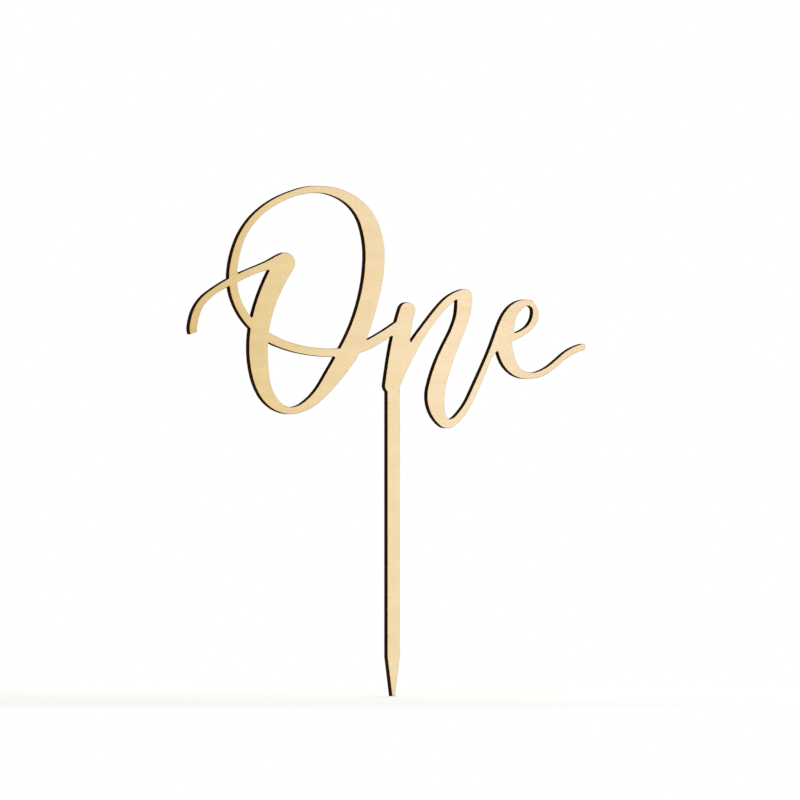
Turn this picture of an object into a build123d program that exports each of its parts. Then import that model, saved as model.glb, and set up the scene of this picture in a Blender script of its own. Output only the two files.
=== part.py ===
from build123d import *
from math import cos, radians, sin, sqrt
import os

# Topper: the number one spelled in joined script, cut together with its stake from
# one sheet of three-ply wood.
# +X runs along the word, +Y from the front to the back and +Z up.
# The origin is the middle of the stake's section, at the level that it is pushed in to.

# Plywood sheet, from its layers
FACE_PLY = 0.6  # front and rear face veneers, grain along X
CORE_PLY = 1.8  # core veneer between them, grain along Z
GLUE_LINE = 0.1  # cured glue film on each side of the core

# Lettering
CAP_HEIGHT = 80.6  # capital from its foot to its crown, a hundred units of the drawing
HAIRLINE = 1.6  # pen stroke at no pressure
SHADE = 7.6  # pen stroke at full pressure

# Cut line: tangent arcs along the sides of the pen strokes
ARC_FIT = 0.08  # furthest that an arc strays from the pen's curve
ARC_TESTS = 6  # parts that a pair of arcs is tested between
ARC_SHORTER = 0.85  # share of its length at which a pair that strays is tried again
INNER_BLUNT = 0.4  # width of the blunt end that the beam leaves in a sharp inner corner
SHARP = 70  # degrees between two lines up to which their corner is sharp
CORNER_TEST = 0.02  # step into a corner, to see which side is wood

# Stake
STAKE_WIDTH = 4.8
STAKE_FREE = 59.5  # in the open, from the origin up to the foot of the lettering
STAKE_SUNK = 50.0  # pushed in, from the origin down to the tip
STAKE_POINT = 14.0  # tapered length at the tip
STAKE_TIP = 1.2  # width left at the blunt tip
STAKE_LAP = 1.0  # from the foot of the lettering down to the stake's square top

# The lettering is drawn in hundredths of the capital's height, from the foot of
# the second letter's stem. Each point is (across, up, pen pressure from 0 to 1).
GRID = CAP_HEIGHT / 100

# Capital: the hook on the left, up to the head of the inner stem
ENTRY = [
    (-93.8, 23.7, 0.22),
    (-93.8, 28.0, 0.23),
    (-92.1, 33.9, 0.18),
    (-88.1, 39.1, 0.14),
    (-81.0, 44.0, 0.14),
    (-71.6, 48.6, 0.17),
    (-62.2, 52.3, 0.18),
    (-57.2, 53.8, 0.34),
    (-51.4, 55.7, 0.59),
]

# Capital: down the inner stem, round the foot, up the right side to the crown
BOWL = [
    (-50.9, 54.4, 0.98),
    (-55.2, 47.3, 0.94),
    (-60.7, 34.5, 0.93),
    (-63.5, 20.0, 0.92),
    (-62.8, 7.7, 0.86),
    (-58.9, -4.0, 0.55),
    (-50.0, -10.3, 0.17),
    (-39.2, -7.0, 0.31),
    (-28.9, 3.9, 0.70),
    (-20.2, 16.4, 0.94),
    (-11.9, 37.1, 0.90),
    (-8.8, 54.0, 0.98),
    (-9.0, 62.0, 0.94),
    (-12.1, 72.9, 0.79),
    (-15.7, 78.4, 0.58),
    (-20.1, 82.2, 0.42),
    (-28.0, 85.7, 0.24),
    (-36.0, 86.8, 0.15),
]

# Capital: from the crown down the left side, across the stem and on to the next letter
RETURN = [
    (-36.0, 86.8, 0.15),
    (-48.2, 84.6, 0.08),
    (-57.4, 80.4, 0.12),
    (-65.4, 74.2, 0.12),
    (-70.7, 67.0, 0.16),
    (-74.0, 58.4, 0.22),
    (-75.5, 48.0, 0.27),
    (-73.7, 38.3, 0.24),
    (-67.3, 28.3, 0.25),
    (-57.4, 21.1, 0.27),
    (-48.9, 17.8, 0.22),
    (-33.7, 15.2, 0.22),
    (-19.6, 16.0, 0.25),
    (-10.0, 19.6, 0.29),
    (-4.9, 22.4, 0.27),
    (3.4, 27.7, 0.28),
]

# Second letter: its first stem, down to the stake
N_STEM = [
    (6.6, 33.6, 0.72),
    (4.7, 27.0, 0.79),
    (3.6, 21.0, 0.88),
    (3.1, 17.0, 0.98),
    (1.6, 11.6, 0.84),
    (-0.6, 0.6, 0.70),
]

# Second letter: the hairline from the foot of the stem up into the arch
N_ARCH = [
    (0.9, 0.5, 0.30),
    (5.5, 10.8, 0.38),
    (10.3, 19.1, 0.30),
    (18.7, 30.3, 0.21),
    (28.3, 39.6, 0.19),
    (32.6, 41.5, 0.14),
]

# Second letter: down from the arch, round and up over the eye of the third letter
N_DOWN = [
    (33.5, 39.5, 0.70),
    (33.1, 33.6, 0.63),
    (26.8, 17.4, 0.66),
    (21.2, 3.0, 0.82),
    (20.5, -9.1, 0.74),
    (25.6, -16.1, 0.29),
    (32.7, -11.0, 0.13),
    (37.6, -2.9, 0.12),
    (42.8, 8.0, 0.09),
    (47.1, 16.5, 0.19),
    (52.8, 24.9, 0.82),
    (54.5, 30.4, 0.57),
    (57.8, 34.8, 0.40),
    (64.0, 37.0, 0.09),
]

# Third letter: the eye
E_EYE = [
    (64.0, 37.0, 0.09),
    (66.1, 35.4, 0.04),
    (67.0, 31.8, 0.13),
    (65.1, 27.2, 0.11),
    (60.7, 23.8, 0.06),
    (57.6, 22.4, 0.13),
    (54.0, 21.2, 0.20),
]

# Third letter: its heavy foot and the tail that runs out to the right
E_TAIL = [
    (52.1, 20.4, 0.71),
    (53.2, 14.5, 0.69),
    (55.4, 9.7, 0.51),
    (58.6, 6.4, 0.28),
    (63.3, 5.1, 0.12),
    (68.8, 5.7, 0.08),
    (75.5, 9.4, 0.09),
    (82.0, 14.6, 0.10),
    (89.2, 17.6, 0.12),
]

# Pen directions at the square ends: at the cut of the hook, and over the crown and the
# eye, where one stroke carries on as the next
HOOK_CUT = Vector(-0.36, 1)
OVER_CROWN = Vector(-1, 0)
OVER_EYE = Vector(1, -0.2)


def pen_width(pressure):
    """Width of the stroke at a pen pressure."""
    return HAIRLINE + pressure * (SHADE - HAIRLINE)


def tangent_at(points, i):
    """Direction of the pen at point i: that of the circle through it and its neighbours."""
    middle = min(max(i, 1), len(points) - 2)
    before = points[middle] - points[middle - 1]
    after = points[middle + 1] - points[middle]
    there = (before.normalized() * after.length + after.normalized() * before.length).normalized()
    if i == middle:
        return there
    chord = before.normalized() if i < middle else after.normalized()
    return chord * (2 * chord.dot(there)) - there


def arc_pair(curve, start, end):
    """Two tangent arcs between two shares of the curve's length, along it at both ends."""
    first, last = curve @ start, curve @ end
    leave, arrive = curve % start, curve % end
    chord = last - first
    ahead = chord.dot(leave + arrive)
    turn = 2 * (1 - leave.dot(arrive))
    reach = chord.length ** 2 / (ahead + sqrt(ahead ** 2 + turn * chord.length ** 2))
    meet = (first + leave * reach + last - arrive * reach) / 2
    return [TangentArc(first, meet, tangent=leave), TangentArc(last, meet, tangent=-arrive)]


def arcs_along(curve):
    """The curve as tangent arcs, in pairs as long as they can be and still lie on it."""
    arcs = []
    start, end = 0, 1
    while start < 1:
        pair = arc_pair(curve, start, end)
        shares = [start + (end - start) * i / ARC_TESTS for i in range(1, ARC_TESTS)]
        if all(min(arc.distance_to(curve @ share) for arc in pair) < ARC_FIT for share in shares):
            arcs += pair
            start, end = end, 1
        else:
            end = start + (end - start) * ARC_SHORTER
    return arcs


def pen_stroke(drawn, start=None, end=None):
    """One stroke of a pointed pen, as wide at each point as its pressure.

    An end is round, or square where the pen's direction is given for it.
    """
    points = [Vector(x * GRID, z * GRID) for x, z, _ in drawn]
    halves = [pen_width(pressure) / 2 for _, _, pressure in drawn]
    along = [tangent_at(points, i) for i in range(len(points))]
    along[0] = start.normalized() if start else along[0]
    along[-1] = end.normalized() if end else along[-1]
    across = [Vector(-t.Y, t.X) for t in along]
    left = [p + n * h for p, n, h in zip(points, across, halves)]
    right = [p - n * h for p, n, h in zip(points, across, halves)]
    ends = [along[0], along[-1]]
    edges = []
    for side in (left, right):
        edges += arcs_along(Spline(*side, tangents=ends, tangent_scalars=[1, 1]))
    for i, way, square in ((0, -1, start), (-1, 1, end)):
        tip = points[i] + along[i] * way * halves[i]
        edges.append(Line(left[i], right[i]) if square else ThreePointArc(left[i], tip, right[i]))
    return make_face(edges)


def stake_outline():
    """The stake, from under the foot of the lettering down to its blunt point."""
    half, tip = STAKE_WIDTH / 2, STAKE_TIP / 2
    bottom = -STAKE_FREE - STAKE_SUNK
    shoulder = bottom + STAKE_POINT
    left = [(-half, -STAKE_LAP), (-half, shoulder), (-tip, bottom)]
    right = [(tip, bottom), (half, shoulder), (half, -STAKE_LAP)]
    return make_face(Polyline(*left, *right, close=True))


def blunt_ends(face):
    """A slip of wood for each sharp inner corner of the cut line, to leave a blunt end there."""
    slips = []
    for point in [Vector(vertex) for vertex in face.vertices()]:
        away, lengths = [], []
        for edge in face.edges():
            for end, way in ((0, 1), (1, -1)):
                if (edge @ end - point).length < CORNER_TEST / 10:
                    away.append((edge % end) * way)
                    lengths.append(edge.length)
        angle = away[0].get_angle(away[1])
        leg = INNER_BLUNT / 2 / sin(radians(angle / 2))
        between = point + (away[0] + away[1]) * CORNER_TEST
        if angle < SHARP and leg < min(lengths) and not face.is_inside(between):
            ahead = (away[0] + away[1]).normalized()
            across = (away[0] - away[1]).normalized() * INNER_BLUNT
            front = point + ahead * leg * cos(radians(angle / 2))
            rear = point - ahead * INNER_BLUNT
            slips.append(make_face(Polyline(rear, front + across, front - across, close=True)))
    return slips


def topper_outline():
    """The whole cut line: every stroke and the stake welded into one face, on the front plane."""
    strokes = [
        pen_stroke(ENTRY, start=HOOK_CUT),
        pen_stroke(BOWL, end=OVER_CROWN),
        pen_stroke(RETURN, start=OVER_CROWN),
        pen_stroke(N_STEM),
        pen_stroke(N_ARCH),
        pen_stroke(N_DOWN, end=OVER_EYE),
        pen_stroke(E_EYE, start=OVER_EYE),
        pen_stroke(E_TAIL),
    ]
    welded = stake_outline().fuse(*strokes).face()
    outline = welded.fuse(*blunt_ends(welded))
    return Plane.XZ * Pos(0, STAKE_FREE) * outline


def plies(outline):
    """The layers of the sheet from back to front, each cut to the same outline."""
    layers = [
        ("rear_face_veneer", FACE_PLY),
        ("rear_glue_line", GLUE_LINE),
        ("core_veneer", CORE_PLY),
        ("front_glue_line", GLUE_LINE),
        ("front_face_veneer", FACE_PLY),
    ]
    back = sum(thickness for _, thickness in layers) / 2
    for name, thickness in layers:
        yield name, extrude(Pos(0, back, 0) * outline, thickness)
        back -= thickness


os.makedirs("parts", exist_ok=True)
for name, ply in plies(topper_outline()):
    export_step(ply, f"parts/{name}.step")
    print(name, len(ply.solids()), round(ply.volume, 1), ply.bounding_box().size)
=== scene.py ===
import math

import bmesh
import bpy
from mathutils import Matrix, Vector


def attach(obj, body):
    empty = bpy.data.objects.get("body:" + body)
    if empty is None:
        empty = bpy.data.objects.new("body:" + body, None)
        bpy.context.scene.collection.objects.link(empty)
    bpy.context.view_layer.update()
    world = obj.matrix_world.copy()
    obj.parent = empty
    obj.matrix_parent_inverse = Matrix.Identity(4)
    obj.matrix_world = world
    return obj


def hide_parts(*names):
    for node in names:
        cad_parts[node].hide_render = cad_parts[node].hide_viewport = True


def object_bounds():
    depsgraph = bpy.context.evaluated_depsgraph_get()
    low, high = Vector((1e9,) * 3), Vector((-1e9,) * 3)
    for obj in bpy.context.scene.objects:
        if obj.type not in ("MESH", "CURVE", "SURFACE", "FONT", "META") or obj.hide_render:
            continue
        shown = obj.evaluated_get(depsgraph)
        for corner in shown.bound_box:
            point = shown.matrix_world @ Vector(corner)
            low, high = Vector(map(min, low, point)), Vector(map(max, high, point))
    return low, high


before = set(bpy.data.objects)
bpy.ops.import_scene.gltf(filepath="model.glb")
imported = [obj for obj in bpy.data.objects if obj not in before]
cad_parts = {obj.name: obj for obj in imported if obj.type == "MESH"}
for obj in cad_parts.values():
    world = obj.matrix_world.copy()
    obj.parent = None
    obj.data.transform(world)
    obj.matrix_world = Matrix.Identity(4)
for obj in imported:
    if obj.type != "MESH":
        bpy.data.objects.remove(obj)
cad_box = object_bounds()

# Looks of a topper cut by laser from three-ply wood. The plies come from the frame, and the two
# face veneers are dressed with the flare and the browning that the beam leaves along the cut.
# Lengths are in metres. Colours of surfaces are in 0 to 255, as the eye sees them.

MM = 0.001
WHITE = (1.0, 1.0, 1.0, 1.0)

# Cut edge
WELD = 0.001 * MM  # vertices nearer than this are one
FRONT_FLARE = (0.12 * MM, 0.23 * MM)  # flare of the cut where the beam goes in, across and down the wall
REAR_FLARE = (0.03 * MM, 0.03 * MM)  # and where it goes out
FLARE_BURN = 0.6  # share of the browning that is left where the flare meets the face
HALO = 0.25 * MM  # browned margin of the face along the cut
FLAT = 0.9  # least share of Y in the normal of a face that lies flat on the sheet
UPRIGHT = 0.1  # greatest share of Y in the normal of a wall
SMOOTH_ANGLE = math.radians(40)  # edges up to this angle are shaded smooth

# Veneer's colours along the word: at the hook, at the capital's inner stem, at the second letter and at the
# tail. They are partly the veneer's own tone and partly painted light: the deep gold toward the hook is
# painted shade, the paling toward the second letter is a painted sheen, and the deepening at the tail is
# painted shade that evens out the key lamp near it. Then the stretches of X in which one passes into the
# next.
LIGHT_WOOD = ((231, 195, 132), (239, 214, 158), (248, 226, 189), (239, 214, 175))
DARK_WOOD = ((225, 189, 124), (234, 208, 150), (244, 220, 181), (234, 208, 167))
HOOK_TO_STEM = (-80 * MM, -44 * MM)
STEM_TO_LETTER = (-58 * MM, 28 * MM)
LETTER_TO_TAIL = (25 * MM, 62 * MM)
BLOTCH_DRIFT = 24 * MM  # shift of these stretches from blotch to blotch

# Veneer's grain, along X: noise cells in a metre along X, Y and Z, and the levels of the noise
# between which it shows
WANDER_CELLS = (16, 16, 45)
WANDER_LIFT = 5 * MM  # height that the grain rises and falls by
BAND_CELLS = (8, 8, 240)
BAND_LEVELS = (0.33, 0.67)
LINE_CELLS = (26, 26, 1150)
LINE_LEVELS = (0.42, 0.75)
LINE_COLOR = (216, 181, 126)
LINE_SHARE = 0.09
FLECK_CELLS = (560, 560, 2000)
FLECK_LEVELS = (0.54, 0.76)
FLECK_COLOR = (206, 168, 96)
FLECK_SHARE = 0.18
BLOTCH_CELLS = (34, 34, 60)
WOOD_ROUGHNESS = (0.44, 0.56)  # between the grain lines and on them
ROUGH_LEVELS = (0.3, 0.8)
WOOD_RELIEF = 0.02 * MM
WOOD_RELIEF_STRENGTH = 0.6
LINE_DEPTH = 0.6  # shares of the relief
FLECK_DEPTH = 1.2
WOOD_SPECULAR = 0.45

# Browned margin of the veneer
RAGGED_CELLS = (1500, 300, 1500)
RAGGED_SHARE = 0.5
BROWN_LEVELS = (0.15, 1.0)
BROWNED_COLOR = (120, 76, 34)

# Each veneer shows a stretch of grain of its own and is browned to its own share
FRONT_GRAIN = (0.31, 0.0, 0.17)
FRONT_BROWNING = 0.15
REAR_GRAIN = (-0.42, 0.0, 0.53)
REAR_BROWNING = 0.35

# Char of the cut edge: its soot, brown and deep colours on each kind of layer, and its noise
FACE_CHAR = ((66, 41, 11), (102, 67, 27), (30, 17, 4))
CORE_CHAR = ((48, 29, 6), (64, 40, 12), (30, 17, 4))
GLUE_CHAR = ((16, 9, 3), (28, 16, 5), (12, 7, 2))
STREAK_CELLS = (1900, 90, 1900)  # streaks through the sheet, the way that the beam goes
STREAK_LEVELS = (0.35, 0.68)
FIBRE_CELLS = (500, 5000, 500)
FIBRE_LEVELS = (0.50, 0.75)
FIBRE_SHARE = 0.5
PATCH_CELLS = (90, 90, 90)
PATCH_LEVELS = (0.40, 0.68)
PATCH_SHARE = 0.5
END_LEVELS = (0.35, 0.95)  # of the grain's axis in the normal, where the fibres end
END_SHARE = 0.6
CHAR_ROUGHNESS = (0.92, 0.74)  # beside the streaks and on them
CHAR_ROUGH_LEVELS = (0.3, 0.7)
CHAR_RELIEF = 0.05 * MM
CHAR_RELIEF_STRENGTH = 0.7
FIBRE_HEIGHT = 0.5  # share of the relief, beside the streaks
CHAR_SPECULAR = 0.0

# Camera: a lens so long that the sheet shows next to no perspective
AZIMUTH = math.radians(-21)
LENS = 1500.0
SENSOR = 36.0
VIEW_WIDTH = 283.4 * MM
AIM_RIGHT = 2.80 * MM
AIM_UP = 54.9 * MM

# Floor
FLOOR_HALF = 20.0
FLOOR_COLORS = ((246, 245, 243), (250, 249, 247))
PAPER_CELLS = (400, 400, 400)
SHADE_REACH = (0.12, 0.60)  # distances from the stake between which the shadow fades out
PLAIN_SHARE = (0.40, 1.0)  # share of plain white in the floor at these two

# Light: the world's colour and strength, then each lamp's name, place, aim, side of its square,
# watts and colour
WORLD_COLOR = (1.0, 0.97, 0.92, 1.0)
WORLD_STRENGTH = 0.28
LAMPS = (
    ("key", (0.48, -0.56, 0.26), (0.03, 0.0, 0.07), 0.25, 2.65, (1.0, 0.99, 0.98)),
    ("fill", (-0.70, -0.80, 0.45), (0.0, 0.0, 0.06), 0.60, 0.9, (1.0, 0.95, 0.88)),
    ("overhead", (0.0, 0.0, 1.0), (0.0, 0.0, 0.0), 0.40, 4.8, (1.0, 1.0, 1.0)),
    ("rear", (0.35, 0.75, 0.40), (0.0, 0.0, 0.05), 0.22, 3.7, (1.0, 0.98, 0.95)),
)


class Graph:
    """A material's nodes, with short names for the ones used here."""

    def __init__(self, name):
        self.material = bpy.data.materials.new(name)
        self.material.use_nodes = True
        self.nodes = self.material.node_tree.nodes
        self.links = self.material.node_tree.links
        self.nodes.clear()
        self.output = self.nodes.new("ShaderNodeOutputMaterial")

    def put(self, value, socket):
        """Links an output to the socket, or sets the socket to a plain value."""
        if isinstance(value, bpy.types.NodeSocket):
            self.links.new(value, socket)
        else:
            socket.default_value = value

    def node(self, kind, **inputs):
        made = self.nodes.new(kind)
        for name, value in inputs.items():
            self.put(value, made.inputs[name])
        return made

    def place(self):
        return self.node("ShaderNodeTexCoord").outputs["Object"]

    def facing(self):
        return self.node("ShaderNodeTexCoord").outputs["Normal"]

    def moved(self, vector, shift):
        return self.node("ShaderNodeMapping", Vector=vector, Location=shift).outputs["Vector"]

    def stretched(self, vector, scale):
        return self.node("ShaderNodeMapping", Vector=vector, Scale=scale).outputs["Vector"]

    def noise(self, vector, cells, detail=2.0, roughness=0.5):
        """Noise with so many cells in a metre along X, Y and Z."""
        vector = self.stretched(vector, cells)
        made = self.node("ShaderNodeTexNoise", Vector=vector, Scale=1.0, Detail=detail, Roughness=roughness)
        return made.outputs["Fac"]

    def math(self, operation, first, second=0.0):
        made = self.nodes.new("ShaderNodeMath")
        made.operation = operation
        self.put(first, made.inputs[0])
        self.put(second, made.inputs[1])
        return made.outputs[0]

    def swing(self, noise, reach):
        """Noise as a swing of half the reach to each side of nought."""
        return self.math("MULTIPLY", self.math("SUBTRACT", noise, 0.5), reach)

    def ranged(self, value, levels, results=(0.0, 1.0)):
        """The value's step from the first level to the second, eased at both ends."""
        made = self.nodes.new("ShaderNodeMapRange")
        made.interpolation_type = "SMOOTHSTEP"
        made.inputs["From Min"].default_value, made.inputs["From Max"].default_value = levels
        made.inputs["To Min"].default_value, made.inputs["To Max"].default_value = results
        self.put(value, made.inputs["Value"])
        return made.outputs["Result"]

    def mixed(self, share, first, second):
        made = self.nodes.new("ShaderNodeMix")
        made.data_type = "RGBA"
        self.put(share, made.inputs[0])
        self.put(first, made.inputs[6])
        self.put(second, made.inputs[7])
        return made.outputs[2]

    def axis(self, vector, name):
        return self.node("ShaderNodeSeparateXYZ", Vector=vector).outputs[name]

    def raised(self, vector, height):
        """The vector with a height added to its Z."""
        made = self.nodes.new("ShaderNodeVectorMath")
        self.put(vector, made.inputs[0])
        self.put(self.node("ShaderNodeCombineXYZ", Z=height).outputs[0], made.inputs[1])
        return made.outputs[0]

    def bump(self, height, distance, strength):
        made = self.node("ShaderNodeBump", Height=height, Distance=distance, Strength=strength)
        return made.outputs["Normal"]

    def surface(self, color, roughness, normal, specular):
        shader = self.node("ShaderNodeBsdfPrincipled")
        self.put(color, shader.inputs["Base Color"])
        self.put(roughness, shader.inputs["Roughness"])
        self.put(normal, shader.inputs["Normal"])
        shader.inputs["Specular IOR Level"].default_value = specular
        self.links.new(shader.outputs[0], self.output.inputs["Surface"])
        return self.material


def linear(color):
    """A colour in 0 to 255 as the eye sees it, as linear light."""
    def channel(value):
        value = value / 255
        return value / 12.92 if value <= 0.04045 else ((value + 0.055) / 1.055) ** 2.4
    return (*[channel(value) for value in color], 1.0)


def wood_tone_and_painted_light(g, along, colors):
    """A wood colour that drifts along the word: partly the veneer's own tone, partly painted shade at the
    hook and the tail and a painted sheen in the middle.
    """
    hook, stem, letter, tail = [linear(color) for color in colors]
    color = g.mixed(g.ranged(along, HOOK_TO_STEM), hook, stem)
    color = g.mixed(g.ranged(along, STEM_TO_LETTER), color, letter)
    return g.mixed(g.ranged(along, LETTER_TO_TAIL), color, tail)


def veneer_material(name, shift, browning):
    """Pale sanded veneer with its grain along X, browned where the burn attribute says so."""
    g = Graph(name)
    place = g.moved(g.place(), shift)
    grain = g.raised(place, g.swing(g.noise(place, WANDER_CELLS), WANDER_LIFT))
    bands = g.noise(grain, BAND_CELLS, detail=3)
    lines = g.noise(grain, LINE_CELLS, detail=3, roughness=0.6)
    flecks = g.noise(grain, FLECK_CELLS, detail=1)
    blotch = g.noise(place, BLOTCH_CELLS)

    along = g.math("ADD", g.axis(g.place(), "X"), g.swing(blotch, BLOTCH_DRIFT))
    # The colour along the word holds painted shade and a painted sheen besides the veneer's own tone.
    light = wood_tone_and_painted_light(g, along, LIGHT_WOOD)
    dark = wood_tone_and_painted_light(g, along, DARK_WOOD)
    color = g.mixed(g.ranged(bands, BAND_LEVELS), light, dark)
    line_share = g.ranged(lines, LINE_LEVELS, (0.0, LINE_SHARE))
    color = g.mixed(line_share, color, linear(LINE_COLOR))
    fleck_share = g.ranged(flecks, FLECK_LEVELS, (0.0, FLECK_SHARE))
    color = g.mixed(fleck_share, color, linear(FLECK_COLOR))

    burn = g.node("ShaderNodeAttribute")
    burn.attribute_name = "burn"
    ragged = g.swing(g.noise(place, RAGGED_CELLS), RAGGED_SHARE)
    browned = g.math("ADD", burn.outputs["Fac"], ragged)
    color = g.mixed(g.ranged(browned, BROWN_LEVELS, (0.0, browning)), color, linear(BROWNED_COLOR))

    rough = g.ranged(lines, ROUGH_LEVELS, WOOD_ROUGHNESS)
    line_height = g.math("MULTIPLY", lines, -LINE_DEPTH)
    height = g.math("SUBTRACT", line_height, g.math("MULTIPLY", fleck_share, FLECK_DEPTH))
    relief = g.bump(height, WOOD_RELIEF, WOOD_RELIEF_STRENGTH)
    return g.surface(color, rough, relief, WOOD_SPECULAR)


def charred_material(name, end_axis, colors):
    """Wood charred by the laser: streaks through the sheet, darker where the grain ends."""
    g = Graph(name)
    soot, brown, deep = [linear(color) for color in colors]
    place = g.place()
    streaks = g.noise(place, STREAK_CELLS, detail=3, roughness=0.6)
    fibres = g.noise(place, FIBRE_CELLS)
    patches = g.noise(place, PATCH_CELLS)
    color = g.mixed(g.ranged(streaks, STREAK_LEVELS), soot, brown)
    color = g.mixed(g.ranged(patches, PATCH_LEVELS, (0.0, PATCH_SHARE)), color, soot)
    color = g.mixed(g.ranged(fibres, FIBRE_LEVELS, (0.0, FIBRE_SHARE)), color, deep)
    ends = g.math("ABSOLUTE", g.axis(g.facing(), end_axis))
    color = g.mixed(g.ranged(ends, END_LEVELS, (0.0, END_SHARE)), color, deep)
    rough = g.ranged(streaks, CHAR_ROUGH_LEVELS, CHAR_ROUGHNESS)
    height = g.math("ADD", streaks, g.math("MULTIPLY", fibres, FIBRE_HEIGHT))
    relief = g.bump(height, CHAR_RELIEF, CHAR_RELIEF_STRENGTH)
    return g.surface(color, rough, relief, CHAR_SPECULAR)


def dressed_veneer(node_name, piece_name, outward, flare_size, wood, char):
    """The node's plate with the cut flared at its outer face, which has a browned margin."""
    across, down = flare_size
    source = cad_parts[node_name].data
    mesh = bpy.data.meshes.new(piece_name)
    corners = [vertex.co for vertex in source.vertices]
    mesh.from_pydata(corners, [], [tuple(polygon.vertices) for polygon in source.polygons])
    bm = bmesh.new()
    bm.from_mesh(mesh)
    bmesh.ops.remove_doubles(bm, verts=bm.verts, dist=WELD)
    bm.normal_update()
    burn = bm.verts.layers.float.new("burn")
    outer = [face for face in bm.faces if face.normal.y * outward > FLAT]
    walls = [face for face in bm.faces if abs(face.normal.y) < UPRIGHT]
    inset = dict(use_boundary=True, use_even_offset=True, depth=0)
    flare = bmesh.ops.inset_region(bm, faces=outer, thickness=across, **inset)["faces"]
    bmesh.ops.inset_region(bm, faces=outer, thickness=HALO, **inset)
    level = outer[0].verts[0].co.y
    arris = {vertex for face in walls for vertex in face.verts if abs(vertex.co.y - level) < WELD}
    for vertex in bm.verts:
        vertex[burn] = 1.0
    for face in flare:
        for vertex in face.verts:
            vertex[burn] = FLARE_BURN
    for face in outer:
        for vertex in face.verts:
            vertex[burn] = 0.0
    for vertex in arris:
        vertex[burn] = 1.0
        vertex.co.y -= outward * down
    bm.normal_update()
    charred = set(walls) | set(flare)
    for face in bm.faces:
        face.smooth = True
        face.material_index = 1 if face in charred else 0
    bm.to_mesh(mesh)
    bm.free()
    mesh.set_sharp_from_angle(angle=SMOOTH_ANGLE)
    mesh.materials.append(wood)
    mesh.materials.append(char)
    piece = bpy.data.objects.new(piece_name, mesh)
    bpy.context.scene.collection.objects.link(piece)
    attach(piece, "root")
    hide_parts(node_name)


def dress_plies():
    """Both face veneers dressed, and char on the core and the glue lines."""
    face_char = charred_material("face_veneer_charred_edge", "X", FACE_CHAR)
    core_char = charred_material("core_veneer_charred_edge", "Z", CORE_CHAR)
    glue_char = charred_material("charred_glue_line", "X", GLUE_CHAR)
    front_wood = veneer_material("front_veneer_wood", FRONT_GRAIN, FRONT_BROWNING)
    rear_wood = veneer_material("rear_veneer_wood", REAR_GRAIN, REAR_BROWNING)
    dressed_veneer("front_face_veneer", "front_veneer_sanded", -1, FRONT_FLARE, front_wood, face_char)
    dressed_veneer("rear_face_veneer", "rear_veneer_sanded", 1, REAR_FLARE, rear_wood, face_char)
    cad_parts["core_veneer"].material_slots[0].material = core_char
    for glue_node in ("front_glue_line", "rear_glue_line"):
        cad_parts[glue_node].material_slots[0].material = glue_char


def white_for_camera(nodes, links):
    """One where a camera, glossy or transmission ray looks, and nought for the rest."""
    path = nodes.new("ShaderNodeLightPath")
    total = path.outputs["Is Camera Ray"]
    for name in ("Is Glossy Ray", "Is Transmission Ray"):
        either = nodes.new("ShaderNodeMath")
        either.operation = "MAXIMUM"
        links.new(total, either.inputs[0])
        links.new(path.outputs[name], either.inputs[1])
        total = either.outputs[0]
    return total


def make_world():
    """Soft warm light from all round, which looks plain white."""
    world = bpy.data.worlds.new("studio")
    bpy.context.scene.world = world
    world.use_nodes = True
    nodes, links = world.node_tree.nodes, world.node_tree.links
    nodes.clear()
    light = nodes.new("ShaderNodeBackground")
    light.inputs["Color"].default_value = WORLD_COLOR
    light.inputs["Strength"].default_value = WORLD_STRENGTH
    white = nodes.new("ShaderNodeBackground")
    white.inputs["Color"].default_value = WHITE
    white.inputs["Strength"].default_value = 1.0
    mix = nodes.new("ShaderNodeMixShader")
    links.new(white_for_camera(nodes, links), mix.inputs[0])
    links.new(light.outputs[0], mix.inputs[1])
    links.new(white.outputs[0], mix.inputs[2])
    output = nodes.new("ShaderNodeOutputWorld")
    links.new(mix.outputs[0], output.inputs["Surface"])


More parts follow.
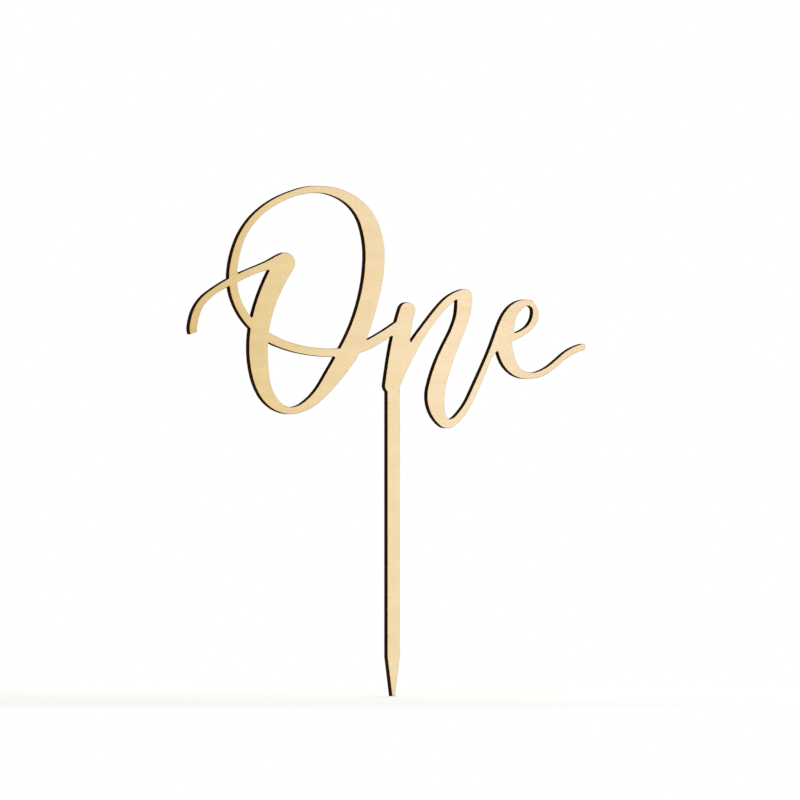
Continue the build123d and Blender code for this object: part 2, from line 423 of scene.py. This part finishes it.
def make_floor():
    """Pale floor at the stake's tip, with the shadow on it near the stake and plain white far off."""
    level = cad_box[0].z
    half = FLOOR_HALF
    mesh = bpy.data.meshes.new("floor")
    corners = [(-half, -half, level), (half, -half, level), (half, half, level), (-half, half, level)]
    mesh.from_pydata(corners, [], [(0, 1, 2, 3)])
    floor = bpy.data.objects.new("floor", mesh)
    bpy.context.scene.collection.objects.link(floor)
    g = Graph("pale_floor")
    place = g.place()
    dark, light = [linear(color) for color in FLOOR_COLORS]
    color = g.mixed(g.noise(place, PAPER_CELLS), dark, light)
    diffuse = g.node("ShaderNodeBsdfDiffuse", Color=color)
    white = g.node("ShaderNodeEmission", Color=WHITE, Strength=1.0)
    reach = g.nodes.new("ShaderNodeVectorMath")
    reach.operation = "LENGTH"
    g.put(g.stretched(place, (1, 1, 0)), reach.inputs[0])
    plain = g.ranged(reach.outputs["Value"], SHADE_REACH, PLAIN_SHARE)
    mix = g.nodes.new("ShaderNodeMixShader")
    g.put(g.math("MULTIPLY", white_for_camera(g.nodes, g.links), plain), mix.inputs[0])
    g.put(diffuse.outputs[0], mix.inputs[1])
    g.put(white.outputs[0], mix.inputs[2])
    g.put(mix.outputs[0], g.output.inputs["Surface"])
    mesh.materials.append(g.material)


def make_lamp(name, place, aim, size, power, color):
    """A square lamp that faces its aim."""
    lamp = bpy.data.lights.new(name, "AREA")
    lamp.shape = "SQUARE"
    lamp.size = size
    lamp.energy = power
    lamp.color = color
    holder = bpy.data.objects.new(name, lamp)
    holder.location = place
    holder.rotation_euler = (Vector(aim) - Vector(place)).to_track_quat("-Z", "Y").to_euler()
    bpy.context.scene.collection.objects.link(holder)


def make_camera():
    """A level camera to the left of the sheet's front."""
    camera = bpy.data.cameras.new("camera")
    camera.lens = LENS
    camera.sensor_width = SENSOR
    holder = bpy.data.objects.new("camera", camera)
    right = Vector((math.cos(AZIMUTH), math.sin(AZIMUTH), 0))
    back = Vector((math.sin(AZIMUTH), -math.cos(AZIMUTH), 0))
    aim = right * AIM_RIGHT + Vector((0, 0, AIM_UP))
    distance = VIEW_WIDTH * LENS / SENSOR
    holder.location = aim + back * distance
    holder.rotation_euler = (math.pi / 2, 0, AZIMUTH)
    bpy.context.scene.collection.objects.link(holder)
    bpy.context.scene.camera = holder


dress_plies()
make_world()
make_floor()
for lamp_values in LAMPS:
    make_lamp(*lamp_values)
make_camera()
bpy.context.scene.view_settings.view_transform = "Standard"
